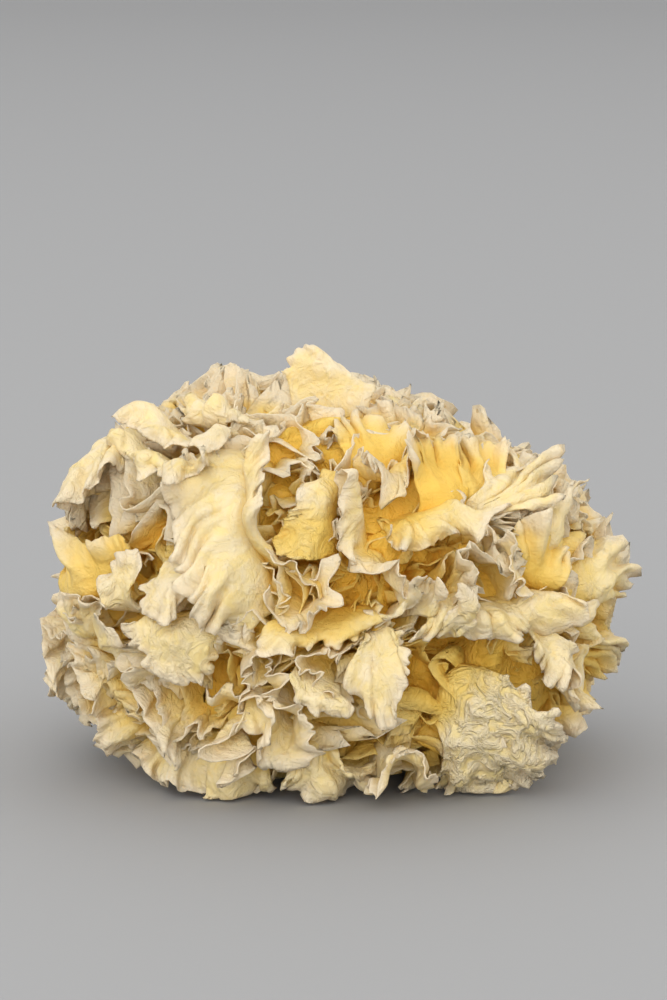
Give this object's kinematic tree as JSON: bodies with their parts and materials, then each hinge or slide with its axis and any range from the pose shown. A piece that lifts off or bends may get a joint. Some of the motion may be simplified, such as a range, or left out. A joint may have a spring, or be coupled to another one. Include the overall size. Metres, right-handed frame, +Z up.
{
  "type": "dried tremella mushroom",
  "caption": "Dried tremella mushroom: a rounded mass of thin ruffled fronds that grow from a dense heart, on a short stub that is cut flat below.",
  "frame": {"origin": "on the surface that the mushroom rests on, below the middle of its bounding box", "axes": "+Z up through the crown, -Y the front with the large open folds, +X to the right as seen from the front"},
  "size_m": [0.1112, 0.097, 0.0785],
  "materials": {
    "dried_flesh": "matt, slightly translucent dried membrane, ivory at the rims and golden in the folds"
  },
  "bodies": {
    "root": {"fruiting_body": "dried_flesh"}
  },
  "joints": []
}
